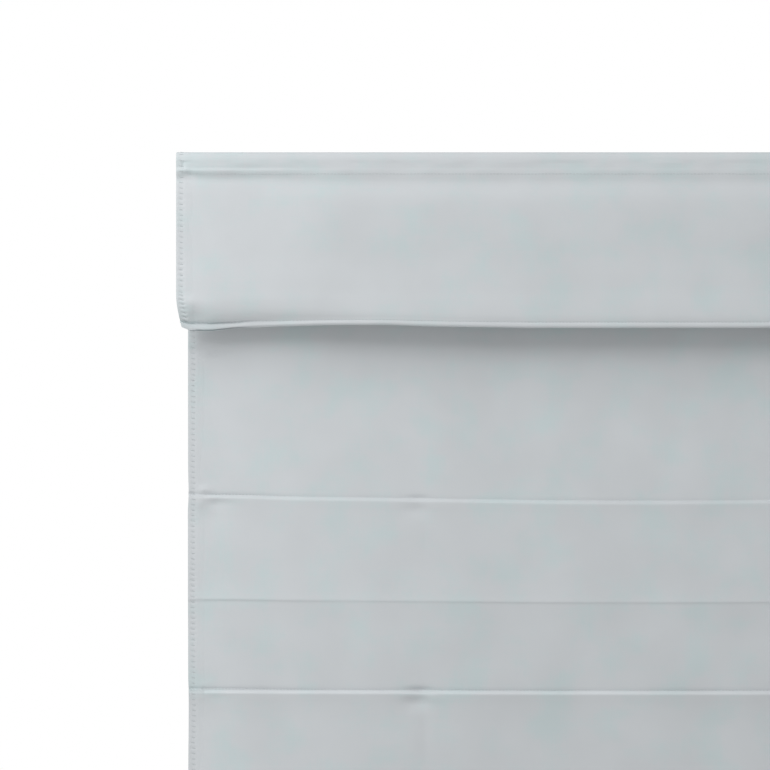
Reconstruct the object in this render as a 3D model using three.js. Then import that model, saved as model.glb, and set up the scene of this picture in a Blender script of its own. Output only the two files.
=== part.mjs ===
// A flat-fold roman shade: a panel with sewn tucks and pressed creases, and a flap valance in front.
// Millimetres, +Z up, the front faces -Y. The origin is the middle of the top edge, in the plane that
// the shade hangs against. A drop is a distance down from the top, a depth one ahead of that plane.
import * as THREE from "three";

// Whole shade
const WIDTH = 864; // valance, side edge to side edge
const DROP = 1626; // top to the panel's bottom edge
const PANEL_INSET = 9.3; // the panel's side edges stand in from the valance's
const GAP = 0.3; // between the panel's top edge and the valance's return
const CLOTH = 1.2; // one layer of cloth
const HEM = 2.4; // a turned and sewn hem
const HEM_FOLD = 1.1; // the same at its very edge, which is rounded
const SIDE_HEM_WIDTH = 9;

// Panel
const PANEL_DEPTH = 6; // middle of the cloth where it hangs plain
const TUCK_PITCH = 178; // 7 in from tuck to tuck
const CREASE_BELOW_TUCK = 95;
const LAST_TUCK = 1391;
const PANEL_COLUMNS = [0, 2, SIDE_HEM_WIDTH - 1, SIDE_HEM_WIDTH + 1.5, 40, 90, 150, 211, 270, 345];

// Valance
const VALANCE_DEPTH = 43.4; // middle of the heading's cloth
const VALANCE_BEND = 4; // radius over the front top edge
const VALANCE_COLUMNS = [0, 2.5, 8, 11, 18, 28, 42, 64, 95, 130, 175, 226, 280, 355];
const BEND_STEPS = 4;

// The folds that are uneven: the drop at the side edges, and how much lower the middle hangs
const UPPER_FOLDS = [
  { kind: "tuck", drop: 318.5, sag: 6.3 },
  { kind: "crease", drop: 415.3, sag: 3.0 },
  { kind: "tuck", drop: 501.0, sag: 1.4 },
  { kind: "crease", drop: 596.0, sag: 2.2 },
];

// Rows of the panel from its top edge to the first tuck, where it hangs plain
const TOP_ROWS = [
  { drop: CLOTH + GAP, forward: -1.5, thick: CLOTH },
  { drop: 60, forward: 0.1, thick: CLOTH },
  { drop: 130, forward: 0.2, thick: CLOTH },
  { drop: 210, forward: 0.2, thick: CLOTH },
  { drop: 285, forward: 0.3, thick: CLOTH },
];

// Rows of a tuck: a seam in a shallow valley, then a ledge that steps forward and eases back
const TUCK_ROWS = [
  { below: -16, forward: 0.3 },
  { below: -1.6, forward: -1.0 },
  { below: 1.4, forward: 2.0 },
  { below: 4.5, forward: 2.3 },
  { below: 14, forward: 1.2 },
  { below: 32, forward: 0 },
];

// Rows of a pressed crease: a low blunt ridge
const CREASE_ROWS = [
  { below: -18, forward: 0.9 },
  { below: -3, forward: 2.1 },
  { below: 2, forward: 2.2 },
  { below: 12, forward: 1.0 },
];

// Rows of the panel's bottom hem
const BOTTOM_ROWS = [
  { up: 43, forward: 0, thick: CLOTH },
  { up: 41, forward: 0.4, thick: HEM },
  { up: 2, forward: 0.4, thick: HEM },
  { up: 0, forward: 0.4, thick: HEM_FOLD },
];

// Rows of the valance's front: how far it stands forward in the middle of the shade, and how much more
// that is near the sides under its heading and over its hem
const VALANCE_ROWS = [
  { drop: 7, forward: -0.2, heading: 0, hem: 0, thick: 1.8 },
  { drop: 11, forward: 0.05, heading: 0.05, hem: 0, thick: 1.8 },
  { drop: 16.2, forward: 0.25, heading: 0.1, hem: 0, thick: 1.8 },
  { drop: 19, forward: 0, heading: -0.2, hem: 0, thick: CLOTH },
  { drop: 22.5, forward: -0.4, heading: -1.0, hem: 0, thick: CLOTH },
  { drop: 26, forward: -0.75, heading: -1.2, hem: 0, thick: CLOTH },
  { drop: 33, forward: -0.2, heading: -1.5, hem: 0, thick: CLOTH },
  { drop: 44, forward: 1.3, heading: -2.9, hem: 0, thick: CLOTH },
  { drop: 60, forward: 1.2, heading: -2.4, hem: 0, thick: CLOTH },
  { drop: 78, forward: 0.4, heading: -1.7, hem: 0, thick: CLOTH },
  { drop: 105, forward: -0.7, heading: -0.4, hem: 0, thick: CLOTH },
  { drop: 126, forward: -0.6, heading: 0, hem: -0.3, thick: CLOTH },
  { drop: 140, forward: -0.1, heading: 0, hem: -2.0, thick: CLOTH },
  { drop: 148, forward: 0, heading: 0, hem: -4.6, thick: CLOTH },
  { drop: 152, forward: -0.2, heading: 0, hem: -6.3, thick: CLOTH },
  { drop: 155.4, forward: -0.8, heading: 0, hem: -7.4, thick: CLOTH },
  { drop: 157, forward: -0.6, heading: 0, hem: -7.2, thick: HEM },
  { drop: 160.4, forward: -0.7, heading: 0, hem: -6.9, thick: HEM },
  { drop: 162, forward: -0.9, heading: 0, hem: -6.8, thick: HEM_FOLD },
];
const VALANCE_HEIGHT = 162; // drop of the last of those rows

// Distances from the side up to which that happens in full, and at which it has ended
const HEADING_NEAR_SIDE = { full: 50, none: 150 };
const HEM_NEAR_SIDE = { full: 60, none: 240 };

// The valance's lower edge, which is lowest near its corners and highest a hand's width in
const VALANCE_EDGE = [
  { fromSide: 0, drop: 161.6 },
  { fromSide: 4, drop: 162.9 },
  { fromSide: 10, drop: 163.5 },
  { fromSide: 35, drop: 163.4 },
  { fromSide: 60, drop: 162.7 },
  { fromSide: 115, drop: 161.3 },
  { fromSide: 150, drop: 160.2 },
  { fromSide: 190, drop: 159.9 },
  { fromSide: 226, drop: 160.5 },
  { fromSide: 280, drop: 161.6 },
  { fromSide: 330, drop: 162.2 },
];
const EDGE_REACH = 42; // height above the lower edge that follows its waves

// The valance's lower corners, which curl back and inwards. Reach is the height over which they do,
// and a fade is the distance from the side in which the curl drops to a third
const CORNER = { reach: 28, power: 1.6, back: 5.5, backFade: 14, inward: 4.5, inwardFade: 16 };
const SWAY_REACH = 60; // drop by which the valance starts to hang in waves

// The panel's side edges wander in and out a little on their way down
const PANEL_EDGE = [
  { drop: 165, inward: 0.1 },
  { drop: 290, inward: 0.2 },
  { drop: 318, inward: 0.7 },
  { drop: 335, inward: 0 },
  { drop: 414, inward: 0.1 },
  { drop: 490, inward: 0.3 },
  { drop: 505, inward: 0.8 },
  { drop: 600, inward: 0.2 },
  { drop: 900, inward: 0 },
];
const PANEL_EDGE_FADE = 30;

// Waves of cloth that hangs nearly flat: how high, and how far across and down one radian takes
const WAVES = [
  { height: 0.6, across: 97, down: 143, start: 0.4 },
  { height: 0.35, across: 52, down: -71, start: 1.7 },
];

// A fold sags between these shares of the way from a side to the middle
const SAG_START = 0.1;
const SAG_SPAN = 0.7;

// The value in one named column of a table, at a place between its rows
function between(table, key, place, column) {
  const above = table.findIndex((row) => row[key] >= place);
  if (above === 0) return table[0][column];
  if (above < 0) return table.at(-1)[column];
  const low = table[above - 1];
  const high = table[above];
  return THREE.MathUtils.mapLinear(place, low[key], high[key], low[column], high[column]);
}

// 1 at the middle of the shade and 0 near its sides, for the sag of a fold
function sagShare(fromSide) {
  const share = THREE.MathUtils.clamp((fromSide / (WIDTH / 2) - SAG_START) / SAG_SPAN, 0, 1);
  return Math.sin((share * Math.PI) / 2);
}

// How far the hanging cloth wanders from flat
function wander(x, drop) {
  const heights = WAVES.map((wave) => {
    return wave.height * Math.sin(x / wave.across + drop / wave.down + wave.start);
  });
  return heights.reduce((sum, height) => sum + height, 0);
}

// A side hem is thicker than the cloth beside it, but for its rounded edge
function hemmed(fromSide, thick) {
  return fromSide > 1 && fromSide < SIDE_HEM_WIDTH ? Math.max(thick, HEM) : thick;
}

// Half of the columns are listed from a side edge, and the other half mirrors them
function mirrored(fromSides, width) {
  const left = fromSides.map((fromSide) => fromSide - width / 2);
  const right = left.map((x) => -x).reverse();
  return [...left, 0, ...right];
}

// One section of a sheet, from the stations of its middle line: each is pushed out and in by half
// of its thickness, square to the line
function section(stations) {
  return stations.map((station, i) => {
    const before = stations[Math.max(i - 1, 0)];
    const after = stations[Math.min(i + 1, stations.length - 1)];
    const along = new THREE.Vector2(after.y - before.y, after.z - before.z).normalize();
    const outY = (along.y * station.thick) / 2;
    const outZ = (-along.x * station.thick) / 2;
    return {
      outer: [station.x, station.y + outY, station.z + outZ],
      inner: [station.x, station.y - outY, station.z - outZ],
    };
  });
}

// A closed sheet from its sections, left to right: each is a loop down its outer face and back up
// its inner face, loops are joined by facets, and the two end loops are filled
function sheetGeometry(sections) {
  const rows = sections[0].length;
  const loop = 2 * rows;
  const points = sections.flatMap((stations) => [
    ...stations.map((station) => station.outer),
    ...stations.map((station) => station.inner).reverse(),
  ]);
  const at = (column, place) => column * loop + (place % loop);
  const facets = [];
  for (let column = 0; column < sections.length - 1; column++) {
    for (let place = 0; place < loop; place++) {
      const a = at(column, place);
      const b = at(column + 1, place);
      const c = at(column + 1, place + 1);
      const d = at(column, place + 1);
      facets.push(a, d, c, a, c, b);
    }
  }
  const last = sections.length - 1;
  for (let row = 0; row < rows - 1; row++) {
    const [front, frontBelow] = [at(0, row), at(0, row + 1)];
    const [back, backBelow] = [at(0, loop - 1 - row), at(0, loop - 2 - row)];
    facets.push(front, back, backBelow, front, backBelow, frontBelow);
    const toRight = last * loop;
    facets.push(front + toRight, backBelow + toRight, back + toRight);
    facets.push(front + toRight, frontBelow + toRight, backBelow + toRight);
  }
  const geometry = new THREE.BufferGeometry();
  geometry.setAttribute("position", new THREE.Float32BufferAttribute(points.flat(), 3));
  geometry.setIndex(facets);
  geometry.computeVertexNormals();
  return geometry;
}

// All folds of the panel, from the top down
function panelFolds() {
  const folds = [...UPPER_FOLDS];
  const firstPlain = UPPER_FOLDS.at(-2).drop + TUCK_PITCH;
  for (let drop = firstPlain; drop < LAST_TUCK + 1; drop += TUCK_PITCH) {
    folds.push({ kind: "tuck", drop, sag: 1.4 + Math.sin(drop) });
    folds.push({ kind: "crease", drop: drop + CREASE_BELOW_TUCK, sag: 1.4 + Math.cos(drop) });
  }
  return folds;
}

// Rows of the panel's middle line at one distance from the side: drop, forward and thickness
function panelRows(fromSide) {
  const rows = [...TOP_ROWS];
  for (const fold of panelFolds()) {
    const seam = fold.drop + fold.sag * sagShare(fromSide);
    const shape = fold.kind === "tuck" ? TUCK_ROWS : CREASE_ROWS;
    for (const row of shape) {
      rows.push({ drop: seam + row.below, forward: row.forward, thick: CLOTH });
    }
  }
  for (const { up, forward, thick } of BOTTOM_ROWS) rows.push({ drop: DROP - up, forward, thick });
  return rows;
}

function panelSection(x, width) {
  const fromSide = width / 2 - Math.abs(x);
  const fade = Math.exp(-fromSide / PANEL_EDGE_FADE);
  const stations = panelRows(fromSide + PANEL_INSET).map((row) => {
    const inward = between(PANEL_EDGE, "drop", row.drop, "inward") * fade;
    return {
      x: x - Math.sign(x) * inward,
      y: -(PANEL_DEPTH + row.forward + wander(x, row.drop)),
      z: -row.drop,
      thick: hemmed(fromSide, row.thick),
    };
  });
  return section(stations);
}

function makePanel() {
  const width = WIDTH - 2 * PANEL_INSET;
  return sheetGeometry(mirrored(PANEL_COLUMNS, width).map((x) => panelSection(x, width)));
}

// A share that falls from 1 at the valance's lower edge to 0 at a reach above it
function nearEdge(above, reach) {
  return THREE.MathUtils.clamp(1 - above / reach, 0, 1);
}

// A share that is 1 near a side and falls smoothly to 0 on the way in
function nearSide(fromSide, { full, none }) {
  return 1 - THREE.MathUtils.smoothstep(fromSide, full, none);
}

// One station on the valance's front, with its curl near the corners
function valanceStation(x, row) {
  const fromSide = WIDTH / 2 - Math.abs(x);
  const above = VALANCE_HEIGHT - row.drop;
  const edge = between(VALANCE_EDGE, "fromSide", fromSide, "drop") - VALANCE_HEIGHT;
  const corner = nearEdge(above, CORNER.reach) ** CORNER.power;
  const cornerBack = CORNER.back * Math.exp(-fromSide / CORNER.backFade) * corner;
  const inward = CORNER.inward * Math.exp(-fromSide / CORNER.inwardFade) * corner;
  const sway = wander(x, row.drop) * Math.min(row.drop / SWAY_REACH, 1);
  const heading = row.heading * nearSide(fromSide, HEADING_NEAR_SIDE);
  const hem = row.hem * nearSide(fromSide, HEM_NEAR_SIDE);
  return {
    x: x - Math.sign(x) * inward,
    y: -(VALANCE_DEPTH + row.forward + heading + hem + sway - cornerBack),
    z: -(row.drop + edge * nearEdge(above, EDGE_REACH)),
    thick: hemmed(fromSide, row.thick),
  };
}

// The return runs forward from the mounting plane, bends over the front top edge, and goes down
function valanceSection(x) {
  const half = CLOTH / 2;
  const bendY = -(VALANCE_DEPTH - VALANCE_BEND);
  const stations = [
    { x, y: 0, z: -half, thick: CLOTH },
    { x, y: bendY / 2, z: -half, thick: CLOTH },
  ];
  for (let step = 0; step <= BEND_STEPS; step++) {
    const turn = ((step / BEND_STEPS) * Math.PI) / 2;
    stations.push({
      x,
      y: bendY - VALANCE_BEND * Math.sin(turn),
      z: -half - VALANCE_BEND * (1 - Math.cos(turn)),
      thick: CLOTH,
    });
  }
  for (const row of VALANCE_ROWS) stations.push(valanceStation(x, row));
  return section(stations);
}

function makeValance() {
  return sheetGeometry(mirrored(VALANCE_COLUMNS, WIDTH).map(valanceSection));
}

const cloth = { color: 0xc2c8ca, roughness: 0.9, metalness: 0 };

function piece(name, geometry) {
  const mesh = new THREE.Mesh(geometry, new THREE.MeshStandardMaterial(cloth));
  mesh.name = name;
  return mesh;
}

const shade = new THREE.Group();
shade.add(piece("panel", makePanel()));
shade.add(piece("valance", makeValance()));

export default shade;
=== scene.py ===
"""A flat-fold roman shade with a flap valance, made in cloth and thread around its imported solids.

Blender's units are metres, +Z is up and the front faces -Y. The tables and the cloth's shape are in
millimetres: a drop is a distance down from the top edge, and a depth is one forward of the plane
that the shade hangs against.
"""

import math

import bpy
import numpy as np
from bpy.props import FloatProperty, FloatVectorProperty, PointerProperty
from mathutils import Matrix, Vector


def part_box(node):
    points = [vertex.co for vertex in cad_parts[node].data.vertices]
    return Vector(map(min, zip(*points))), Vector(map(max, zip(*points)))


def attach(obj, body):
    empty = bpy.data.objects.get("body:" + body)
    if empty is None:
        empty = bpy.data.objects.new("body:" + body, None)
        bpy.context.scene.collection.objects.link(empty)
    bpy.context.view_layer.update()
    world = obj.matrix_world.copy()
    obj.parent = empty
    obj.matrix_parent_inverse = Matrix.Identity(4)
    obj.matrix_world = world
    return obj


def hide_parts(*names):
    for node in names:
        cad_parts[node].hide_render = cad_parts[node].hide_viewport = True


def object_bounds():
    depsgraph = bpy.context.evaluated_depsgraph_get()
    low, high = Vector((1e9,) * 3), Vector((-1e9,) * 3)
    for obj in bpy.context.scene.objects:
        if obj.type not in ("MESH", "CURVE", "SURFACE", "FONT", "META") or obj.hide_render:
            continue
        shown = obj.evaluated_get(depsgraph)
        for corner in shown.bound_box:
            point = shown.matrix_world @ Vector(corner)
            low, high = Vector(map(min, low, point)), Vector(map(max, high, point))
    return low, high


bl_info = {
    "name": "Roman shade maker",
    "version": (1, 0, 0),
    "blender": (4, 5, 0),
    "location": "View3D > Sidebar > Shade",
    "description": "Sews a flat-fold roman shade and its flap valance",
    "category": "Add Mesh",
}

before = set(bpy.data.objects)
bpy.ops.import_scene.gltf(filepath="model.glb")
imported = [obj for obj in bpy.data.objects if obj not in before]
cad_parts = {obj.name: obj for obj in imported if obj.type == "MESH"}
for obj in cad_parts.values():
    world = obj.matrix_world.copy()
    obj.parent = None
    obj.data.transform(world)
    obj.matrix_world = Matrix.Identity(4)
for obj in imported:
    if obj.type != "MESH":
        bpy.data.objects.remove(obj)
CAD_LOW, CAD_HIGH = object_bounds()
VALANCE_LOW, VALANCE_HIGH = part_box("valance")

MM = 0.001

# The photograph's frame: its width, a pixel's size on the valance's front, and that front's top left pixel
PHOTO_PIXELS = 770
PIXEL = 0.925 * MM
CORNER_PIXEL = (176, 152)
CAMERA_DISTANCE = 4
SENSOR = 36

# The panel
PANEL_DEPTH = 6
TUCK_PITCH = 178
CREASE_BELOW_TUCK = 95
LAST_TUCK = 1391
PANEL_TOP = {"drop": (1.5, 60, 130, 210), "forward": (-1.5, 0.1, 0.2, 0.2)}


def table(columns, *rows):
    """Rows under named columns."""
    return [dict(zip(columns.split(), row)) for row in rows]


# The uneven folds: the drop at the sides, how much lower the middle hangs, how strongly the fold and
# the dip by it show, and how strongly its ledge is painted paler as a highlight
FOLD_COLUMNS = "kind drop sag strength dip wear"
UPPER_FOLDS = table(
    FOLD_COLUMNS,
    ("tuck", 318.5, 5.7, 0.9, 0.6, 0.3),
    ("crease", 415.3, 3, 1, 0.6, 0),
    ("tuck", 500.2, 1.4, 1.35, 0.9, 1),
    ("crease", 596, 2.2, 0.9, 0.8, 0),
)

# A fold and its dip vary by these shares over about these distances, in noise read this far apart
FOLD_UNEVEN = {"share": 0.16, "across": 60}
DIP_UNEVEN = {"share": 0.6, "across": 34}
FOLDS_APART = 40

# A tuck from the side: the cloth dips to its seam, steps forward over a ledge and eases back. Turned
# layers fill the ledge from behind, so the back only shows a shallow line
TUCK = {
    "below": (-60, -20, -7, -2, -0.6, 0, 0.9, 1.8, 2.6, 5, 14, 32, 60),
    "forward": (0, 0.25, 0.2, 0.05, -0.1, 0.3, 1.3, 2.1, 2.45, 2.2, 1.2, 0.2, 0),
    "behind": (0, 0.25, 0.2, 0.3, 0.6, 0.7, 0.5, 0.1, 0.1, 0.4, 0.6, 0.1, 0),
}
TUCK_DIP = {
    "below": (-5, -3.4, -2, -1, -0.3, 0.9, 2.2),
    "forward": (0, -0.12, -0.55, -0.95, -0.95, -0.3, 0),
}

# The dips are deep near the sides and shallow in the middle
DIP_NEAR_SIDE = {"full": 40, "none": 150, "least": 0.35}

# A tuck's ledge is painted paler as a highlight where it faces the light, at these places below its seam
LEDGE_HIGHLIGHT = {"below": (-0.6, 0.2, 1, 2.2, 3.6), "share": (0, 0.8, 1, 0.8, 0)}

# A pressed crease from the side: a low ridge with a sharp lower lip
CREASE = {
    "below": (-70, -18, -8, -3, -0.8, 0.2, 1.2, 2.4, 9, 22, 60),
    "forward": (0, 0.9, 1.5, 2.1, 2.4, 2.35, 1.95, 1.7, 1.15, 0.4, 0),
    "behind": (0, 0.9, 1.5, 2, 2.2, 2.2, 1.95, 1.75, 1.15, 0.4, 0),
}
CREASE_DIP = {"below": (-1.5, -0.1, 1.4, 3, 6.5), "forward": (0, 0, -0.3, -0.27, 0)}
SECTIONS = {"tuck": TUCK, "crease": CREASE}
DIPS = {"tuck": TUCK_DIP, "crease": CREASE_DIP}

# Where the mesh has its rows near a fold
TUCK_ROWS = (
    -45, -32, -23, -17, -13, -10, -7.5, -5.5, -4, -3, -2.3, -1.7, -1.2, -0.7, -0.2,
    0.3, 0.8, 1.3, 1.8, 2.4, 3.2, 4.2, 5.6, 7.5, 10, 13.5, 18, 24, 31, 40,
)
CREASE_ROWS = (
    -40, -30, -22, -16, -12, -8.5, -6, -4, -2.6, -1.6, -0.8, -0.2, 0.4, 1, 1.7,
    2.6, 4, 6, 9, 13, 18, 25, 33,
)
FOLD_ROWS = {"tuck": TUCK_ROWS, "crease": CREASE_ROWS}

# Where the mesh has its columns: in from a side edge, and from a lift line either way
SIDE_COLUMNS = (1.2, 2, 3.5, 5, 7, 9, 11, 13, 15, 17.5, 20, 23, 27, 32)
LIFT_COLUMNS = (0, 3, 5.2, 7.2, 10, 14, 18, 25)

# The longest steps of each mesh
MESH_STEP = {"panel": {"across": 12.5, "down": 12}, "valance": {"across": 7, "down": 5}}
SHARP_DEGREES = 55

# The bottom hem, in heights above the edge: its seam, and how far each face stands from the cloth's middle
BOTTOM_SEAM = 42
BOTTOM_HEM = {
    "up": (0, 0.25, 0.7, 1.3, 2.2, 6, 38, 40.5, 42, 43.5, 44.2, 44.8, 48),
    "forward": (0.1, 0.3, 0.6, 0.8, 0.9, 0.95, 0.85, 0.6, 0.35, 0.6, 0.65, 0.62, 0.6),
    "behind": (0.1, 0.5, 0.95, 1.3, 1.5, 1.6, 1.6, 1.5, 1.1, 1.5, 1.35, 0.65, 0.6),
}

# How far the panel's side edges stand in on their way down, and how soon that fades inwards
PANEL_EDGE = {
    "drop": (165, 290, 318, 335, 414, 490, 505, 600, 900),
    "inward": (0.1, 0.2, 0.7, 0, 0.1, 0.3, 0.8, 0.2, 0),
}
PANEL_EDGE_FADE = 30

# The panel's lift lines, this far from the middle: the cloth lies over a seam and its turned edges
LIFT_LINE = 207.9
LIFT_RIDGE = {"from_lift": (-18, -7, -5.2, 0, 5.2, 7, 18), "forward": (0, -0.07, 0, 0, 0, -0.07, 0)}
LIFT_SHOWS = {"drop": (290, 330), "share": (1, 0.3)}

# Puckers by a tuck, as soft bumps: where they are from the panel's edge or the lift line and from the
# seam, how high, wide and tall they are, and how strongly they show from tuck to tuck
BUMP_COLUMNS = "out down height wide tall"
END_PUCKERS = table(
    BUMP_COLUMNS,
    (16, -5.5, 1.5, 6, 3.2),
    (3, -1.6, -1.2, 4, 1.8),
    (27, 7.4, -2.2, 9.5, 4),
    (26, 18, -1.7, 13, 9.5),
    (12, 7, 0.6, 5, 4.5),
)
LIFT_PUCKERS = table(
    BUMP_COLUMNS,
    (0.5, -1.1, -2.5, 11, 2.6),
    (-2, 10.5, -3.6, 12, 5.5),
    (13, 7, 0.8, 8, 4),
    (7, 34, -0.8, 7, 26),
)
END_STRENGTHS = (1, 0.3, 0.5, 0.7, 0.4, 0.6, 0.5)
LIFT_STRENGTHS = (0.45, 1, 0.4, 0.7, 0.3, 0.6, 0.5)

# Soft bumps on the valance: where the heading's stitching ends, and where its corner is sewn
VALANCE_PUCKERS = table(
    BUMP_COLUMNS,
    (7, 16.5, 1.3, 4.5, 2.4),
    (12, 21, -1.1, 6, 2.6),
    (7, 9, -0.9, 1.4, 8),
    (15, 137.5, 1.5, 10, 5.5),
    (18, 150.5, -2.2, 9, 4.6),
    (30, 141, 1, 9, 5),
    (31, 149.5, 0.8, 7, 3.4),
    (8, 153, 0.6, 3.5, 4.5),
)

# A hollow near the panel's side edges under the valance, and the mesh's rows over it
SHADED_HOLLOW = {"out": 14, "down": 184, "height": -2.6, "wide": 22, "tall": 6}
HOLLOW_ROWS = [SHADED_HOLLOW["down"] + 2.4 * step for step in range(-5, 6)]

# Waves of cloth that hangs nearly flat: how high, and how far across and down one radian takes
WAVES = table("height across down start", (0.6, 97, 143, 0.4), (0.35, 52, -71, 1.7))

# Finer unevenness: how wide, tall and high one hump or hollow is
RIPPLES = table("wide tall height", (130, 130, 0.3), (70, 300, 0.3), (46, 46, 0.12), (19, 19, 0.03))

# The valance's return, its bend over the front top edge, and its front: how far it stands forward in
# the middle, and how much more near the sides for its heading and its hem
VALANCE_DEPTH = 44
VALANCE_BEND = {"deep": 4.6, "tall": 8, "length": 10.2}
VALANCE_HEIGHT = 162
VALANCE_FRONT = {
    "drop": (8, 11, 14.8, 16.2, 17.2, 20, 23, 26, 29, 33, 38.6, 44, 50, 60, 78, 105, 126, 140, 148, 152,
             155.6, 162),
    "forward": (0, -0.05, -0.05, 0.14, 0.16, -0.02, -0.45, -0.9, -0.95, 0, 1.55, 2.3, 2.5, 2.2, 1.1,
                -0.8, -0.9, -0.2, 0, -0.2, -0.8, -1.1),
}
HEADING_EXTRA = {
    "drop": (8, 11, 15, 16.6, 17.8, 20.2, 22.6, 25.4, 29, 33, 38.6, 44, 50, 60, 78, 105, 126),
    "forward": (0, -0.05, -0.5, -0.04, -0.14, -0.98, -1.8, -2.15, -1.7, -2.3, -3.5, -4.2, -4.3, -3.9, -2.7,
                -0.6, 0),
}
HEM_EXTRA = {
    "drop": (118, 126, 133, 140, 144, 148, 151, 153.5, 155.8, 157.2, 158.6, 162),
    "forward": (0, -0.25, -0.6, -1.6, -2.6, -4.1, -5.8, -7.6, -8.9, -9.15, -9.15, -9.4),
}

# The lower hem's seam draws the cloth into a narrow groove: its height over the edge, and its depth
SEAM_GROOVE = {
    "from_side": (0, 26, 34, 56, 66, 95, 150, 200, 250, 300, 432),
    "up": (7.1, 7.1, 6.9, 5.9, 6.2, 5.3, 5.3, 5.3, 5.3, 5.3, 5.3),
    "depth": (2.5, 2.5, 2.5, 2.1, 1.4, 0.6, 0.3, 0.1, 0.15, 0.35, 0.45),
}
GROOVE_REACH = 0.9

# The heading's layers are thicker by this factor down to its seam
HEADING_THICK = 1.5
HEADING_SEAM = 20.2

# Where the valance's mesh has its rows: drops by the heading, and heights over the edge
HEADING_ROWS = (9.5, 11, 12.5, 14, 15, 16, 16.7, 17.4, 18.1, 19, 20, 21.2, 22.6, 24, 26, 28.5, 32)
LOWER_ROWS = (1.6, 2.4, 3.2, 4, 4.5, 4.9, 5.3, 5.7, 6.1, 6.6, 7.4, 8.5, 10, 12, 15, 19, 24, 30, 37)

# Small puckers, drawn up by the heading's stitches: how wide, tall and high one is, and where
HEADING_PUCKERS = {"across": 13, "down": 8, "height": 0.55}
HEADING_LIVELY = {"drop": (6, 10, 17, 22, 34), "share": (0, 1, 1, 0.6, 0)}

# How far in from a side what the heading and the hem add there reaches
HEADING_NEAR_SIDE = {"full": 50, "none": 150}
HEM_NEAR_SIDE = {"full": 45, "none": 210}

# The lower edge and how high over it its line is felt, its corners, which swing back and inwards, and
# the drop from which the cloth sways in full
VALANCE_EDGE = {
    "from_side": (0, 4, 10, 30, 40, 60, 115, 150, 190, 226, 280, 330),
    "drop": (162.3, 164.1, 165.6, 165.8, 164.9, 163, 160.7, 160.1, 159.9, 161, 162, 162.7),
}
EDGE_REACH = 42
CORNER = {"reach": 28, "power": 1.6, "back": 5.5, "back_fade": 14, "inward": 4.5, "inward_fade": 16}
SWAY_REACH = 60

# How much of its sag a fold has on the way from a side to the middle
SAG = {
    "from_side": (0, 45, 115, 170, 226, 300, 355, 432),
    "share": (0, 0.02, 0.36, 0.47, 0.61, 0.81, 0.94, 1),
}

# Turned hems in section, from the inner edge in front round to the one behind: the distance in from
# the cloth's edge, and the height over its face. The valance's side hems are a little flatter
SIDE_HEM = {
    "in": (17, 15.5, 14, 12.5, 11, 9.6, 8.2, 7, 6, 4.8, 3.6, 2.6, 1.7, 0.9, 0.4, 0.15, 0, 0.2,
           1.2, 3, 6, 9, 9.7, 10, 10.4),
    "lift": (-0.25, -0.05, 0.02, 0.06, 0.1, 0.15, 0.18, 0.14, 0.1, 0.08, 0.14, 0.24, 0.3, 0.3, 0.05,
             -0.35, -1, -1.5, -1.85, -2, -2, -2, -1.8, -1.3, -0.7),
}
VALANCE_SIDE_HEM = {**SIDE_HEM, "lift": [min(height, 0.24) for height in SIDE_HEM["lift"]]}
VALANCE_HEM = {
    "in": (5.6, 5.2, 4.8, 4.4, 3.8, 3, 2.5, 2, 1.6, 1.3, 1.05, 0.85, 0.65, 0.45, 0.25, 0.1, 0, 0.2,
           0.7, 1.6, 2.8, 4.2, 5.2, 5.8, 6.2),
    "lift": (-1.2, -0.7, -0.15, 0.12, 0.22, 0.28, 0.3, 0.26, 0.17, 0.04, -0.12, -0.28, -0.45, -0.68, -0.93,
             -1.15, -1.4, -1.7, -1.9, -2, -2, -1.95, -1.8, -1.3, -0.7),
}

# The cross stitches of a side hem pull the cloth in, harder at some places down it than at others, and
# lie farther in at the valance's corners
DIMPLE = {"depth": 0.42, "width": 0.24, "from": 1.2, "to": 7.6, "fade": 1.2}
DIMPLE_UNEVEN = {"share": 0.4, "down": 9}
PANEL_PULL = {
    "down": (0, 284, 294, 308, 322, 344, 364, 376, 386, 404, 410, 452, 468, 620, 900),
    "share": (0.6, 0.4, 1.1, 1.1, 0.3, 1.1, 1, 0.4, 1, 1.1, 0.8, 1, 0.4, 0.8, 0.5),
    "inward": (0,) * 15,
}
VALANCE_PULL = {
    "down": (0, 60, 75, 86, 97, 108, 118, 138, 147, 158, 168, 174, 180, 190, 203),
    "share": (0.5, 0.4, 0.3, 0.9, 1, 0.9, 0.25, 0.25, 0.9, 0.9, 0.6, 0.8, 1.7, 2.5, 2.5),
    "inward": (0,) * 11 + (0.3, 1, 2, 2.6),
}

# The side hems of both cloths, and how far apart the random seeds of their two sides are
SIDE_HEMS = {
    "panel": {**SIDE_HEM, "pulls": PANEL_PULL, "seeds": 1},
    "valance": {**VALANCE_SIDE_HEM, "pulls": VALANCE_PULL, "seeds": 4},
}
SIDES = (("left", -1), ("right", 1))

# Under a side hem the cloth lies deeper, which leaves room for the dimples
RECESS = {"full": 8, "none": 10.5}
RECESS_DEPTH = 0.8

# At the valance's corners the lower edge is rolled under, and its hem and what is behind part in a slit
ROLL = {"up": 1.7, "back": 0.9}
SLIT = {"up": 0.75, "reach": 0.45, "depth": 2.7, "back": 1.4}
SLIT_NEAR_SIDE = {"full": 50, "none": 90}

# There the last cross stitches are closer, and the side hem ends a little above the lower edge
CLOSE_STITCHES = {"from_end": 27, "pitch": 3.75}
SIDE_HEM_ENDS = 1.2

# How high the hems are puffed and over what distance, and the dimples of the lower hem's stitches
SIDE_PUFF = {"height": 0.12, "across": 17}
LOWER_PUFF = {"height": 0.08, "across": 23}
LOWER_DIMPLE = {"depth": 0.12, "width": 0.3, "in": 4.2, "reach": 0.8}

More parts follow.
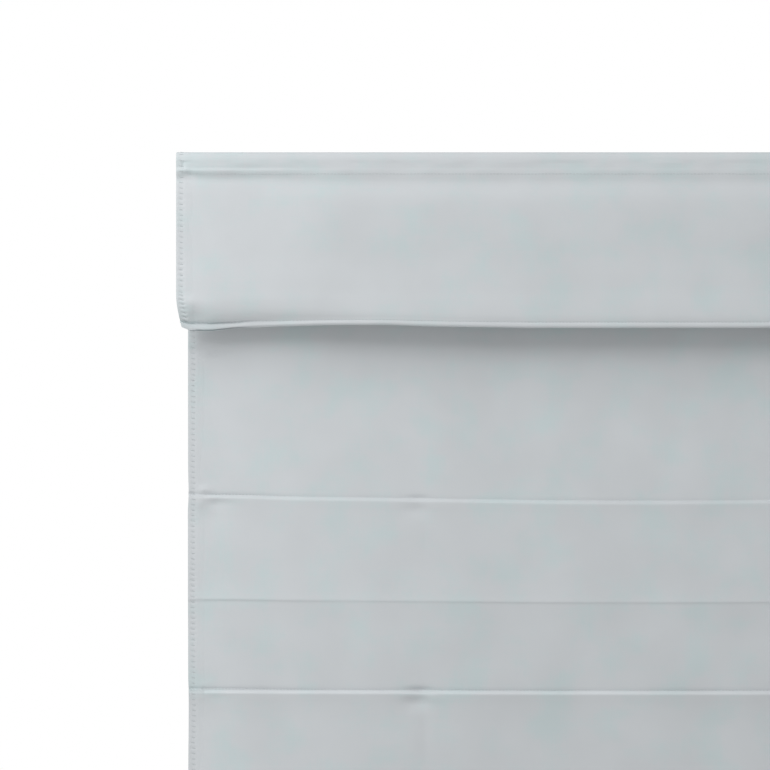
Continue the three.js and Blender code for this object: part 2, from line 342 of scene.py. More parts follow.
# One cross stitch from end to end, its sizes, how far it sinks with the cloth, and what varies
CROSS_STITCH = {"share": (0, 0.22, 0.5, 0.78, 1), "lift": (-0.35, 0.18, 0.3, 0.2, -0.35)}
CROSS_SIZE = {"from": 2, "across": 5.4, "slant": 4.6, "sunk": 0.85}
CROSS_VARIES = {"slant": 0.3, "reach": 0.4}

# One straight stitch from end to end, in its lengths and in thread radii, how much of its pitch it
# takes, how far it strays from its line, and how far over a tuck's seam it lies at the back
SEAM_STITCH = {"share": (-0.5, -0.28, 0, 0.28, 0.5), "lift": (-2, 0.3, 1, 0.3, -2)}
STITCH_SHARE = 0.84
SEAM_STRAYS = 0.12
BACK_SEAM_UP = 1
SEED = 20

# Soft lights in metres and watts: the main one, one that rakes down the valance, a low one that opens
# the shade under it, a faint one beside and one for the back
LIGHTS = table(
    "name place aim size watts",
    ("key", (-1.6, -2.2, 1.45), (-0.1, 0, -0.3), (1.3, 1.3), 35.4),
    ("high", (-0.7, -0.94, 1.58), (-0.1, 0, -0.3), (0.8, 0.8), 9.5),
    ("front", (0.6, -4.6, -1.2), (0, 0, -0.5), (3, 1.4), 30),
    ("beside", (-0.48, -0.15, -0.5), (0, -0.15, -0.5), (0.2, 1.6), 0.37),
    ("behind", (1.3, 2.2, 0.7), (0, 0, -0.8), (1.8, 1.8), 26),
)

# A white surround: how strongly it lights the cloth, and how strongly the eye sees it
SURROUND = (0.425, 1)


def linear(code):
    """Linear colour of an sRGB hex code."""
    shares = [int(code[i : i + 2], 16) / 255 for i in (1, 3, 5)]
    return [s / 12.92 if s <= 0.04045 else ((s + 0.055) / 1.055) ** 2.4 for s in shares]


def length_of(name, description, metres):
    """A length to set in the sidebar."""
    return FloatProperty(name=name, description=description, default=metres, unit="LENGTH")


def colour_of(name, description, code):
    """A colour to set in the sidebar."""
    return FloatVectorProperty(
        name=name, description=description, default=linear(code), subtype="COLOR", min=0, max=1,
    )


class ShadeSizes(bpy.types.PropertyGroup):
    """Sizes that a maker would choose."""

    width: length_of("Valance width", "From side edge to side edge", VALANCE_HIGH.x - VALANCE_LOW.x)
    drop: length_of("Drop", "From the top edge to the panel's bottom edge", CAD_HIGH.z - CAD_LOW.z)
    panel_inset: length_of("Panel inset", "How far its side edges stand in from the valance's", 0.0093)
    cloth: length_of("Cloth thickness", "Thickness of one layer, face to face", 0.0012)
    hem_stitch: length_of("Hem stitch pitch", "From cross stitch to cross stitch down a hem", 0.00505)
    seam_stitch: length_of("Seam stitch pitch", "From stitch to stitch along a straight seam", 0.0032)
    thread: length_of("Thread thickness", "Diameter of the sewing thread", 0.00042)


class ShadeColours(bpy.types.PropertyGroup):
    """Colours of the cloth, the thread and the stage."""

    cloth: colour_of("Cloth", "Light blue-grey of the cloth", "#C7CBCE")
    cloth_shade: colour_of("Cloth, greener patches", "Where the dye took a little more to green", "#C1CCCE")
    thread: colour_of("Thread", "Sewing thread, a touch greyer than the cloth", "#BCC2C4")
    floor: colour_of("Floor", "Pale floor", "#E9E9E8")


def eased(curve, key, column, places):
    """One column of a curve's table at these places, smooth and never past the rows' values."""
    x = np.asarray(curve[key], float)
    y = np.asarray(curve[column], float)
    step = np.diff(x)
    slope = np.diff(y) / step
    product = slope[:-1] * slope[1:]
    total = np.where(product > 0, slope[:-1] + slope[1:], 1)
    tangent = np.concatenate([[slope[0]], np.where(product > 0, 2 * product / total, 0), [slope[-1]]])
    place = np.clip(places, x[0], x[-1])
    i = np.clip(np.searchsorted(x, place, side="right") - 1, 0, len(step) - 1)
    t = (place - x[i]) / step[i]
    low = y[i] * (1 + 2 * t) * (1 - t) ** 2 + step[i] * tangent[i] * t * (1 - t) ** 2
    high = y[i + 1] * (3 - 2 * t) * t**2 + step[i] * tangent[i + 1] * (t - 1) * t**2
    return low + high


def bump(distance, width):
    """A soft bump of height 1, in distances from its middle."""
    return np.exp(-((distance / width) ** 2))


def pucker(row, out, down):
    """The soft bump of one row, at distances from the side and down."""
    return row["height"] * bump(out - row["out"], row["wide"]) * bump(down - row["down"], row["tall"])


def unit(vectors):
    """The same directions at length 1."""
    return vectors / np.linalg.norm(vectors, axis=-1, keepdims=True)


def near_side(inset, reach):
    """1 at a side edge, falling smoothly to 0 on the way in from it."""
    share = np.clip((reach["none"] - inset) / (reach["none"] - reach["full"]), 0, 1)
    return share * share * (3 - 2 * share)


def soft_noise(across, down, cell, seed, tall=None):
    """Smooth noise from -1 to 1 over the cloth, with one hump or hollow to a cell."""
    side = 97
    grid = np.random.default_rng(seed).uniform(-1, 1, (side, side))
    u = np.asarray(across, float) / cell + side / 2
    v = np.asarray(down, float) / (tall or cell)
    u, v = np.broadcast_arrays(u, v)
    i, j = np.floor(u).astype(int), np.floor(v).astype(int)
    s, t = u - i, v - j
    s, t = s * s * (3 - 2 * s), t * t * (3 - 2 * t)
    i, j = i % side, j % side
    upper = grid[i, j] * (1 - s) + grid[(i + 1) % side, j] * s
    lower = grid[i, (j + 1) % side] * (1 - s) + grid[(i + 1) % side, (j + 1) % side] * s
    return upper * (1 - t) + lower * t


def wander(x, drop, seed):
    """How far the hanging cloth wanders from flat, in broad waves and in finer unevenness."""
    broad = sum(w["height"] * np.sin(x / w["across"] + drop / w["down"] + w["start"]) for w in WAVES)
    fine = (r["height"] * soft_noise(x, drop, r["wide"], seed + r["wide"], r["tall"]) for r in RIPPLES)
    return broad + sum(fine)


def all_folds():
    """Every fold of the panel from the top down."""
    folds = list(UPPER_FOLDS)
    drop = UPPER_FOLDS[-2]["drop"] + TUCK_PITCH
    while drop < LAST_TUCK + 1:
        sine, cosine = math.sin(drop), math.cos(drop)
        folds += table(
            FOLD_COLUMNS,
            ("tuck", drop, 1.4 + sine, 1.1 + 0.15 * sine, 0.8 + 0.2 * cosine, 0.7),
            ("crease", drop + CREASE_BELOW_TUCK, 1.4 + cosine, 0.9 + 0.1 * cosine, 0.9, 0),
        )
        drop += TUCK_PITCH
    return folds


class Shade:
    """The hanging shape, in millimetres: points on the faces of the panel and of the valance."""

    def __init__(self, sizes):
        self.half = sizes.width / MM / 2
        self.drop = sizes.drop / MM
        self.panel_half = self.half - sizes.panel_inset / MM
        self.cloth = sizes.cloth / MM
        self.folds = all_folds()
        self.tucks = [fold for fold in self.folds if fold["kind"] == "tuck"]
        self.sags = {
            "drop": [0] + [fold["drop"] for fold in self.folds] + [self.drop],
            "sag": [0] + [fold["sag"] for fold in self.folds] + [0],
        }
        self.flat_length = VALANCE_DEPTH - VALANCE_BEND["deep"]
        self.front_start = self.flat_length + VALANCE_BEND["length"]
        self.valance_length = self.along_of(VALANCE_HEIGHT)
        self.cloths = {
            "panel": (self.panel_point, self.panel_half),
            "valance": (self.valance_point, self.half),
        }

    def along_of(self, drop):
        """The distance along the valance's section at which its front reaches a drop."""
        return self.front_start + drop - VALANCE_BEND["tall"]

    def sag_share(self, x):
        return eased(SAG, "from_side", "share", self.half - np.abs(x))

    def fold_relief(self, x, down, face):
        """How far the folds carry a face of the panel forward."""
        total = 0
        least = DIP_NEAR_SIDE["least"]
        side = least + (1 - least) * near_side(self.panel_half - np.abs(x), DIP_NEAR_SIDE)
        for number, fold in enumerate(self.folds):
            below, apart = down - fold["drop"], number * FOLDS_APART
            lively = 1 + FOLD_UNEVEN["share"] * soft_noise(x, apart, FOLD_UNEVEN["across"], SEED)
            shape = fold["strength"] * eased(SECTIONS[fold["kind"]], "below", face, below)
            if fold["dip"] and face == "forward":
                patchy = 1 + DIP_UNEVEN["share"] * soft_noise(x, apart, DIP_UNEVEN["across"], SEED + 2)
                shape = shape + fold["dip"] * side * patchy * eased(DIPS[fold["kind"]], "below", face, below)
            total = total + lively * shape
        return total

    def puckers(self, x, down):
        """Puckers where the tucks meet the side hems and cross the lift lines."""
        from_edge = self.panel_half - np.abs(x)
        from_lift = LIFT_LINE - np.abs(x)
        total = 0
        for tuck, at_end, at_lift in zip(self.tucks, END_STRENGTHS, LIFT_STRENGTHS):
            below = down - tuck["drop"]
            total = total + at_end * sum(pucker(row, from_edge, below) for row in END_PUCKERS)
            total = total + at_lift * sum(pucker(row, from_lift, below) for row in LIFT_PUCKERS)
        total = total + pucker(SHADED_HOLLOW, from_edge, down)
        ridge = eased(LIFT_RIDGE, "from_lift", "forward", from_lift)
        return total + eased(LIFT_SHOWS, "drop", "share", down) * ridge

    def painted_highlight(self, down):
        """How strongly the tucks' ledges are painted paler as a highlight, from 0 to 1."""
        total = 0
        for tuck in self.tucks:
            total = total + tuck["wear"] * eased(LEDGE_HIGHLIGHT, "below", "share", down - tuck["drop"])
        return total

    def panel_point(self, x, down, face="forward"):
        """A point on the panel's front or back face, at a distance down its cloth."""
        x, down = np.broadcast_arrays(np.asarray(x, float), np.asarray(down, float))
        from_edge = self.panel_half - np.abs(x)
        inward = eased(PANEL_EDGE, "drop", "inward", down) * np.exp(-from_edge / PANEL_EDGE_FADE)
        middle = PANEL_DEPTH + eased(PANEL_TOP, "drop", "forward", down) + wander(x, down, SEED)
        middle = middle + self.puckers(x, down)
        half = eased(BOTTOM_HEM, "up", face, self.drop - down)
        depth = middle + self.fold_relief(x, down, face) + (half if face == "forward" else -half)
        sag = eased(self.sags, "drop", "sag", down) * self.sag_share(x)
        return np.stack([x - np.sign(x) * inward, -depth, -(down + sag)], axis=-1)

    def seam_up(self, x):
        """How far the lower hem's seam lies over the valance's edge."""
        return eased(SEAM_GROOVE, "from_side", "up", self.half - np.abs(x))

    def valance_point(self, x, along):
        """A point on the valance's outer face, at a distance along its section from the return's back."""
        x, along = np.broadcast_arrays(np.asarray(x, float), np.asarray(along, float))
        from_side = self.half - np.abs(x)
        turn = np.clip((along - self.flat_length) / VALANCE_BEND["length"], 0, 1) * math.pi / 2
        y = np.minimum(along, self.flat_length) + VALANCE_BEND["deep"] * np.sin(turn)
        drop = VALANCE_BEND["tall"] * (1 - np.cos(turn)) + np.maximum(along - self.front_start, 0)
        on_front = along > self.front_start
        above = VALANCE_HEIGHT - drop
        corner = np.clip(1 - above / CORNER["reach"], 0, None) ** CORNER["power"]
        inward = CORNER["inward"] * np.exp(-from_side / CORNER["inward_fade"]) * corner
        sway = wander(x, drop, SEED + 1) * np.minimum(drop / SWAY_REACH, 1)
        forward = eased(VALANCE_FRONT, "drop", "forward", drop) + sway
        for extra, reach in ((HEADING_EXTRA, HEADING_NEAR_SIDE), (HEM_EXTRA, HEM_NEAR_SIDE)):
            forward = forward + near_side(from_side, reach) * eased(extra, "drop", "forward", drop)
        forward = forward - CORNER["back"] * np.exp(-from_side / CORNER["back_fade"]) * corner
        small = soft_noise(x, drop, HEADING_PUCKERS["across"], SEED + 3, HEADING_PUCKERS["down"])
        lively = eased(HEADING_LIVELY, "drop", "share", drop)
        forward = forward + HEADING_PUCKERS["height"] * small * lively
        forward = forward + sum(pucker(row, from_side, drop) for row in VALANCE_PUCKERS)
        groove = bump(above - self.seam_up(x), GROOVE_REACH)
        forward = forward - groove * eased(SEAM_GROOVE, "from_side", "depth", from_side)
        edge = eased(VALANCE_EDGE, "from_side", "drop", from_side) - VALANCE_HEIGHT
        lower = edge * np.clip(1 - above / EDGE_REACH, 0, None)
        depth = y + np.where(on_front, forward, 0)
        return np.stack([x - np.sign(x) * inward, -depth, -(drop + np.where(on_front, lower, 0))], axis=-1)

    def lifted(self, point, x, down, lift):
        """Points at a height over a face, square to it."""
        nudge = 0.4
        across = point(x + nudge, down) - point(x - nudge, down)
        along = point(x, down + nudge) - point(x, down - nudge)
        return point(x, down) + unit(np.cross(along, across)) * np.asarray(lift)[..., None]


def mirrored(from_sides, half):
    """Columns listed from a side edge to the middle, and their mirror images, left to right."""
    left = [place - half for place in from_sides]
    return np.array(left + [0.0] + [-x for x in reversed(left)])


def filled(places, most):
    """The places in order, with more between them so that no step is longer than this."""
    places = sorted(set(places))
    done = [places[0]]
    for place in places[1:]:
        count = math.ceil((place - done[-1]) / most)
        start = done[-1]
        done += [start + (place - start) * (i + 1) / count for i in range(count)]
    return np.array(done)


def make_mesh(name, points, faces, material):
    """A piece from points in millimetres and its faces, which point outwards."""
    mesh = bpy.data.meshes.new(name)
    mesh.from_pydata((np.asarray(points) * MM).tolist(), [], faces)
    mesh.shade_smooth()
    mesh.set_sharp_from_angle(angle=math.radians(SHARP_DEGREES))
    mesh.validate()
    piece = bpy.data.objects.new(name, mesh)
    bpy.context.scene.collection.objects.link(piece)
    piece.data.materials.append(material)
    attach(piece, "root")
    return piece


def sheet_faces(rows, columns):
    """Faces of a closed sheet: a grid of front points, one of back points, and the rim between."""
    count = rows * columns
    front = np.arange(count).reshape(rows, columns)
    a, b, c, d = front[:-1, :-1], front[:-1, 1:], front[1:, 1:], front[1:, :-1]
    near = np.stack([a, d, c, b], -1).reshape(-1, 4)
    far = np.stack([a, b, c, d], -1).reshape(-1, 4) + count
    rim = np.concatenate([front[0], front[1:, -1], front[-1, -2::-1], front[-2::-1, 0]])
    edge = np.stack([rim[:-1], rim[1:], rim[1:] + count, rim[:-1] + count], -1)
    return np.concatenate([near, far, edge]).tolist()


def signed_volume(points, faces):
    """Six times the volume inside the faces, below zero where they point inwards."""
    fans = [(face[0], *pair) for face in faces for pair in zip(face[1:-1], face[2:])]
    return np.linalg.det(points[np.array(fans)]).sum()


def make_tubes(name, rings, material):
    """Closed tubes as one piece: rings has tube, ring and point in its first three axes."""
    tubes, count, around = rings.shape[:3]
    number = np.arange(count * around).reshape(count, around)
    turned = np.roll(number, -1, axis=1)
    faces = np.stack([number[:-1], turned[:-1], turned[1:], number[1:]], -1).reshape(-1, 4).tolist()
    faces += [number[0, ::-1].tolist(), number[-1].tolist()]
    if signed_volume(rings[0].reshape(-1, 3), faces) < 0:
        faces = [face[::-1] for face in faces]
    whole = [[place + tube * number.size for place in face] for tube in range(tubes) for face in faces]
    return make_mesh(name, rings.reshape(-1, 3), whole, material)


def threads(shade, point, across, down, lift, radius, around=6):
    """Rings of round thread along paths at a height over a face."""
    paths = shade.lifted(point, across, down, lift)
    ups = shade.lifted(point, across, down, lift + 1) - paths
    along = unit(np.gradient(paths, axis=1))
    side = unit(np.cross(along, ups))
    up = np.cross(side, along)
    angle = np.arange(around) * 2 * math.pi / around
    ring = np.cos(angle)[:, None] * side[:, :, None, :] + np.sin(angle)[:, None] * up[:, :, None, :]
    return paths[:, :, None, :] + radius * ring


def add(tree, kind, settings=None, inputs=None):
    """Adds a node with its own settings, and gives its inputs values or links from outputs."""
    node = tree.nodes.new(kind)
    for name, value in (settings or {}).items():
        setattr(node, name, value)
    for name, value in (inputs or {}).items():
        if isinstance(value, bpy.types.NodeSocket):
            tree.links.new(value, node.inputs[name])
        else:
            node.inputs[name].default_value = value
    return node


def figure(tree, operation, *values):
    """The result of a sum on numbers or outputs."""
    return add(tree, "ShaderNodeMath", {"operation": operation}, dict(enumerate(values))).outputs["Value"]


def noise(tree, place, size, detail=2.0, roughness=0.5):
    """The outputs of a noise with patches of about this size."""
    inputs = {"Vector": place, "Scale": 1 / size, "Detail": detail, "Roughness": roughness}
    return add(tree, "ShaderNodeTexNoise", inputs=inputs).outputs


def ranged(tree, value, low, high, least=0.0, most=1.0):
    """A value's range from low to high, spread from least to most and held there."""
    inputs = {"Value": value, "From Min": low, "From Max": high, "To Min": least, "To Max": most}
    return add(tree, "ShaderNodeMapRange", inputs=inputs).outputs["Result"]


def blended(tree, share, first, second):
    """A colour on its way from the first to the second."""
    inputs = {"Factor": share, "A": (*first, 1.0), "B": (*second, 1.0)}
    return add(tree, "ShaderNodeMix", {"data_type": "RGBA"}, inputs).outputs["Result"]


def raised(tree, height, strength, distance, **normal):
    """The normal of a surface with this relief, on top of another one where it is given."""
    inputs = {"Height": height, "Strength": strength, "Distance": distance, **normal}
    return add(tree, "ShaderNodeBump", inputs=inputs).outputs["Normal"]


def material_of(make, colours):
    """The material that a function describes, under that function's name."""
    name = make.__name__.capitalize()
    if name not in bpy.data.materials:
        material = bpy.data.materials.new(name)
        material.use_nodes = True
        tree = material.node_tree
        tree.nodes.clear()
        place = add(tree, "ShaderNodeTexCoord").outputs["Object"]
        shader = add(tree, "ShaderNodeBsdfPrincipled", inputs=make(tree, place, colours))
        add(tree, "ShaderNodeOutputMaterial", inputs={"Surface": shader.outputs["BSDF"]})
    return bpy.data.materials[name]


def woven_polyester(tree, place, colours):
    """Spun polyester in a plain weave, coloured by piece dyeing and lightly brushed: matt, with a faint pale
    bloom at grazing angles, slightly uneven yarn, a soft mottle where the dye took more or less, a painted
    highlight along the tucks' ledges, and painted shade that makes it a touch darker towards the bottom."""
    # The yarns lie 0.35 mm apart. They are drawn at twice that, so that they show
    yarn = 0.7 * MM
    slub_length, slub_width = 28 * MM, 1.1 * MM
    mottle, patch, bloom = 34 * MM, 62 * MM, 7 * MM
    jitter = noise(tree, place, 9 * MM, 1.0)["Color"]
    moved = {0: jitter, 1: (0.5 * MM,) * 3, 2: place}
    shift = add(tree, "ShaderNodeVectorMath", {"operation": "MULTIPLY_ADD"}, moved)
    axes = add(tree, "ShaderNodeSeparateXYZ", inputs={"Vector": shift.outputs["Vector"]}).outputs
    down = figure(tree, "ADD", axes["Z"], axes["Y"])
    turns = [figure(tree, "MULTIPLY", way, math.pi / yarn) for way in (axes["X"], down)]
    weave = figure(tree, "MULTIPLY", *[figure(tree, "SINE", turn) for turn in turns])
    streaks = []
    for across, along in ((slub_length, slub_width), (slub_width, slub_length)):
        scale = (1 / across, 1 / across, 1 / along)
        stretched = add(tree, "ShaderNodeMapping", inputs={"Vector": place, "Scale": scale})
        streaks.append(noise(tree, stretched.outputs["Vector"], 1.0)["Fac"])
    slubs = figure(tree, "ADD", *streaks)
    clouds = noise(tree, place, mottle, 3.0, 0.55)["Fac"]
    tint = ranged(tree, figure(tree, "MULTIPLY_ADD", slubs, 0.2, clouds), 0.5, 0.72)
    colour = blended(tree, tint, colours.cloth_shade, colours.cloth)
    depth = ranged(tree, noise(tree, place, patch)["Fac"], 0.3, 0.7, 0.97, 1.02)
    height = add(tree, "ShaderNodeSeparateXYZ", inputs={"Vector": place}).outputs["Z"]
    # Painted shade: the cloth is painted a touch darker towards the bottom, where the light falls off
    painted_falloff = ranged(tree, height, -0.62, -0.26, 0.955)
    # Painted highlight: the tucks' ledges are painted paler, as where they face the light
    wear = add(tree, "ShaderNodeAttribute", {"attribute_name": "painted_highlight"}).outputs["Fac"]
    highlight_gain = 0.12
    tone = figure(tree, "MULTIPLY_ADD", wear, highlight_gain, figure(tree, "MULTIPLY", depth, painted_falloff))
    dye_and_painted_light = add(tree, "ShaderNodeVectorMath", {"operation": "SCALE"}, {0: colour, "Scale": tone})
    nap = noise(tree, place, bloom, 4.0)["Fac"]
    woven = raised(tree, weave, 0.25, 0.06 * MM)
    uneven = raised(tree, slubs, 0.3, 0.05 * MM, Normal=woven)
    return {
        "Base Color": dye_and_painted_light.outputs["Vector"], "Roughness": 0.88, "IOR": 1.5, "Specular IOR Level": 0.3,
        "Sheen Weight": 0.25, "Sheen Roughness": 0.4,
        "Normal": raised(tree, nap, 0.25, 0.25 * MM, Normal=uneven),
    }


def spun_thread(tree, place, colours):
    """Spun polyester sewing thread: matt, with a fine twist along it."""
    twist = 0.5 * MM
    plies = add(
        tree, "ShaderNodeTexWave", {"wave_type": "BANDS", "bands_direction": "DIAGONAL"},
        {"Vector": place, "Scale": 0.3 / twist, "Distortion": 0.6},
    )
    fuzz = noise(tree, place, 12 * MM)["Fac"]
    dark = [share * 0.88 for share in colours.thread]
    return {
        "Base Color": blended(tree, fuzz, colours.thread, dark), "Roughness": 0.75, "IOR": 1.5,
        "Sheen Weight": 0.1, "Normal": raised(tree, plies.outputs["Fac"], 0.5, 0.05 * MM),
    }


def rolled_paint(tree, place, colours):
    """Matt paint rolled on a smooth floor: even, with a faint orange-peel stipple."""
    grain = raised(tree, noise(tree, place, 3 * MM)["Fac"], 0.1, 0.1 * MM)
    return {"Base Color": (*colours.floor, 1.0), "Roughness": 0.7, "Normal": grain}


def make_sheet(name, front, back, colours):
    """A closed sheet of cloth from the grids of its two faces."""
    points = np.concatenate([front.reshape(-1, 3), back.reshape(-1, 3)])
    material = material_of(woven_polyester, colours)
    return make_mesh(name, points, sheet_faces(*front.shape[:2]), material)


class SHADE_OT_panel(bpy.types.Operator):
    """Hangs the panel's cloth, with its tucks, creases and bottom hem"""

    bl_idname = "shade.panel"
    bl_label = "Panel cloth"

    def execute(self, context):
        shade = Shade(context.scene.shade_sizes)
        half = shade.panel_half
        by_lift = [half - LIFT_LINE + side * step for side in (-1, 1) for step in LIFT_COLUMNS]
        columns = filled([*SIDE_COLUMNS, *by_lift, half], MESH_STEP["panel"]["across"])
        columns = mirrored(columns[:-1], half)
        rows = [1.5, 6, 16, shade.drop - BOTTOM_SEAM - 10, *HOLLOW_ROWS]
        for fold in shade.folds:
            rows += [fold["drop"] + below for below in FOLD_ROWS[fold["kind"]]]
        rows += [shade.drop - up for up in BOTTOM_HEM["up"]]
        rows = filled(rows, MESH_STEP["panel"]["down"])
        recess = RECESS_DEPTH * near_side(half - np.abs(columns), RECESS)
        front = shade.lifted(shade.panel_point, columns[None, :], rows[:, None], -recess[None, :])
        back = shade.panel_point(columns[None, :], rows[:, None], "behind")
        cloth = make_sheet("panel_cloth", front, back, context.scene.shade_colours)
        # The tucks' ledges are painted paler as a highlight, through a share on the front face's points
        painted_highlight = np.zeros(front.shape[:2]) + shade.painted_highlight(rows)[:, None]
        shares = cloth.data.attributes.new(name="painted_highlight", type="FLOAT", domain="POINT")
        shares.data.foreach_set("value", np.concatenate([painted_highlight.ravel(), 0 * painted_highlight.ravel()]))
        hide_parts("panel")
        return {"FINISHED"}


class SHADE_OT_valance(bpy.types.Operator):
    """Hangs the valance's cloth, from its return over the bend and down its front"""

    bl_idname = "shade.valance"
    bl_label = "Valance cloth"

    def execute(self, context):
        shade = Shade(context.scene.shade_sizes)
        step = MESH_STEP["valance"]
        columns = mirrored(filled([*SIDE_COLUMNS, 38, shade.half], step["across"])[:-1], shade.half)
        bend = [shade.flat_length + (shade.front_start - shade.flat_length) * i / 8 for i in range(9)]
        rows = [0, 0.4, *bend, *(shade.along_of(drop) for drop in HEADING_ROWS)]
        rows = filled(rows + [shade.valance_length - up for up in LOWER_ROWS], step["down"])
        across, down = columns[None, :], rows[:, None]
        heading = (down > shade.front_start) & (down < shade.along_of(HEADING_SEAM))
        thick = np.where(heading, HEADING_THICK, 1) * shade.cloth + 0 * across
        recess = RECESS_DEPTH * near_side(shade.half - np.abs(across), RECESS)
        front = shade.lifted(shade.valance_point, across, down, -recess + 0 * down)
        back = shade.lifted(shade.valance_point, across, down, -thick)
        cloth = make_sheet("valance_cloth", front, back, context.scene.shade_colours)
        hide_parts("valance")
        return {"FINISHED"}


def pull_at(places, pulls, seed):
    """How deep each cross stitch pulls its hem in."""
    uneven = 1 + DIMPLE_UNEVEN["share"] * soft_noise(places, 0.0, DIMPLE_UNEVEN["down"], seed)
    return DIMPLE["depth"] * uneven * eased(pulls, "down", "share", places)


def dimples(inset, rows, places, pull, inward):
    """The hollows that the cross stitches make in a side hem."""
    nearest = np.abs(rows[:, None] - places[None, :]).argmin(axis=1)
    phase = (rows - places[nearest]) / np.gradient(places)[nearest]
    inset = inset - inward[nearest][:, None]
    begins = np.clip((inset - DIMPLE["from"]) / DIMPLE["fade"], 0, 1)
    ends = np.clip((DIMPLE["to"] - inset) / DIMPLE["fade"], 0, 1)
    return (pull[nearest] * bump(phase, DIMPLE["width"]))[:, None] * begins * ends


def side_hem(shade, cloth, side, rows, places):
    """Rings of a turned hem down one side, dimpled by its cross stitches."""
    (point, half), hem = shade.cloths[cloth], SIDE_HEMS[cloth]
    seed = SEED + hem["seeds"] * side
    inset = np.array(hem["in"])
    lift = np.array(hem["lift"]) + 0 * rows[:, None]
    on_front = np.arange(inset.size) <= np.argmin(hem["in"])
    inward = eased(hem["pulls"], "down", "inward", places)
    hollows = dimples(inset, rows, places, pull_at(places, hem["pulls"], seed), inward)
    lift = lift - np.where(on_front, hollows, 0)
    puff = SIDE_PUFF["height"] * soft_noise(rows[:, None], inset, SIDE_PUFF["across"], seed + 5)
    lift = lift + np.where(on_front & (lift > 0), puff, 0)
    across = side * (half - inset) + 0 * rows[:, None]
    return shade.lifted(point, across, rows[:, None] + 0 * across, lift)[None]


def lower_hem(shade, stitch):
    """Rings of the valance's lower hem, dimpled by its seam, and rolled under and slit at the corners."""
    columns = filled([-shade.half + 0.6, shade.half - 0.6], stitch / 4)[:, None]
    from_side = shade.half - np.abs(columns)
    inset = np.array(VALANCE_HEM["in"]) * shade.seam_up(columns) / shade.seam_up(0.0)
    lift = np.array(VALANCE_HEM["lift"]) + 0 * columns
    phase = columns / stitch - np.round(columns / stitch)
    dimple = LOWER_DIMPLE["depth"] * bump(phase, LOWER_DIMPLE["width"])
    dimple = dimple * bump(inset - LOWER_DIMPLE["in"], LOWER_DIMPLE["reach"])
    lift = lift - np.where(lift > -0.6, dimple, 0)
    puff = LOWER_PUFF["height"] * soft_noise(columns, inset, LOWER_PUFF["across"], SEED + 9)
    lift = lift + np.where(lift > 0.1, puff, 0)
    rolled = ROLL["back"] * near_side(from_side, HEM_NEAR_SIDE)
    lift = lift - rolled * np.clip(1 - inset / ROLL["up"], 0, 1)
    on_front = np.arange(inset.shape[1]) <= np.argmin(VALANCE_HEM["in"])
    slit = np.where(on_front, SLIT["depth"] * bump(inset - SLIT["up"], SLIT["reach"]), SLIT["back"])
    lift = lift - near_side(from_side, SLIT_NEAR_SIDE) * slit
    return shade.lifted(shade.valance_point, columns + 0 * inset, shade.valance_length - inset, lift)[None]


def side_stitch_places(shade, pitch):
    """The cross stitches' places down the side hems: closer together by the valance's corners."""
    last = shade.valance_length - 3
    near = last - CLOSE_STITCHES["from_end"]
    closer = np.arange(near, last, CLOSE_STITCHES["pitch"])
    return {
        "panel": np.arange(4, shade.drop - 4, pitch),
        "valance": np.concatenate([np.arange(4, near, pitch), closer]),
    }


class SHADE_OT_hems(bpy.types.Operator):
    """Turns and dimples the side hems of both cloths and the valance's lower hem"""

    bl_idname = "shade.hems"
    bl_label = "Turned hems"

    def execute(self, context):
        sizes = context.scene.shade_sizes
        shade = Shade(sizes)
        material = material_of(woven_polyester, context.scene.shade_colours)
        pitch = sizes.hem_stitch / MM
        places = side_stitch_places(shade, pitch)
        near_tucks = [tuck["drop"] + below for tuck in shade.tucks for below in TUCK_ROWS if -4 < below < 4]
        panel_rows = filled([1.6, shade.drop - 0.1] + near_tucks, pitch / 5)
        near_corner = shade.valance_length - CLOSE_STITCHES["from_end"] - 4
        valance_rows = filled([0.1, shade.flat_length, shade.front_start, near_corner], pitch / 6)
        ends = [near_corner, shade.valance_length - SIDE_HEM_ENDS]
        corner_rows = filled(ends, CLOSE_STITCHES["pitch"] / 6)
        rows = {"panel": panel_rows, "valance": np.concatenate([valance_rows, corner_rows[1:]])}
        for name, side in SIDES:
            for cloth in SIDE_HEMS:
                rings = side_hem(shade, cloth, side, rows[cloth], places[cloth])
                make_tubes(f"{cloth}_hem_{name}", rings, material)
        make_tubes("valance_hem_lower", lower_hem(shade, sizes.seam_stitch / MM), material)
        return {"FINISHED"}


def cross_stitches(shade, cloth, side, places, radius):
    """Rings of the slanted stitches across a side hem: the closer together, the more they slant."""
    (point, half), hem = shade.cloths[cloth], SIDE_HEMS[cloth]
    seed = SEED + hem["seeds"] * side
    rng = np.random.default_rng(seed)
    share = np.array(CROSS_STITCH["share"])
    varied = CROSS_VARIES["slant"] * rng.uniform(-1, 1, places.size)
    slant = CROSS_SIZE["slant"] / np.gradient(places) + varied
    reach = CROSS_VARIES["reach"] * rng.uniform(-1, 1, places.size)
    reach = reach + eased(hem["pulls"], "down", "inward", places)
    inset = CROSS_SIZE["from"] + reach[:, None] + CROSS_SIZE["across"] * share
    down = places[:, None] + slant[:, None] * (share - 0.5)
    sunk = CROSS_SIZE["sunk"] * pull_at(places, hem["pulls"], seed)[:, None]
    lift = np.array(CROSS_STITCH["lift"]) - sunk
    return threads(shade, point, side * (half - inset), down, lift, radius)


def seam_stitches(shade, point, places, down, length, radius, seed):
    """Rings of the straight stitches along a seam at a distance down the cloth."""
    rng = np.random.default_rng(seed)
    across = places[:, None] + length * np.array(SEAM_STITCH["share"])
    strays = SEAM_STRAYS * rng.uniform(-1, 1, places.size)[:, None]
    level = down + strays + 0 * across
    lift = np.array(SEAM_STITCH["lift"]) * radius + 0 * across
    return threads(shade, point, across, level, lift, radius, around=5)


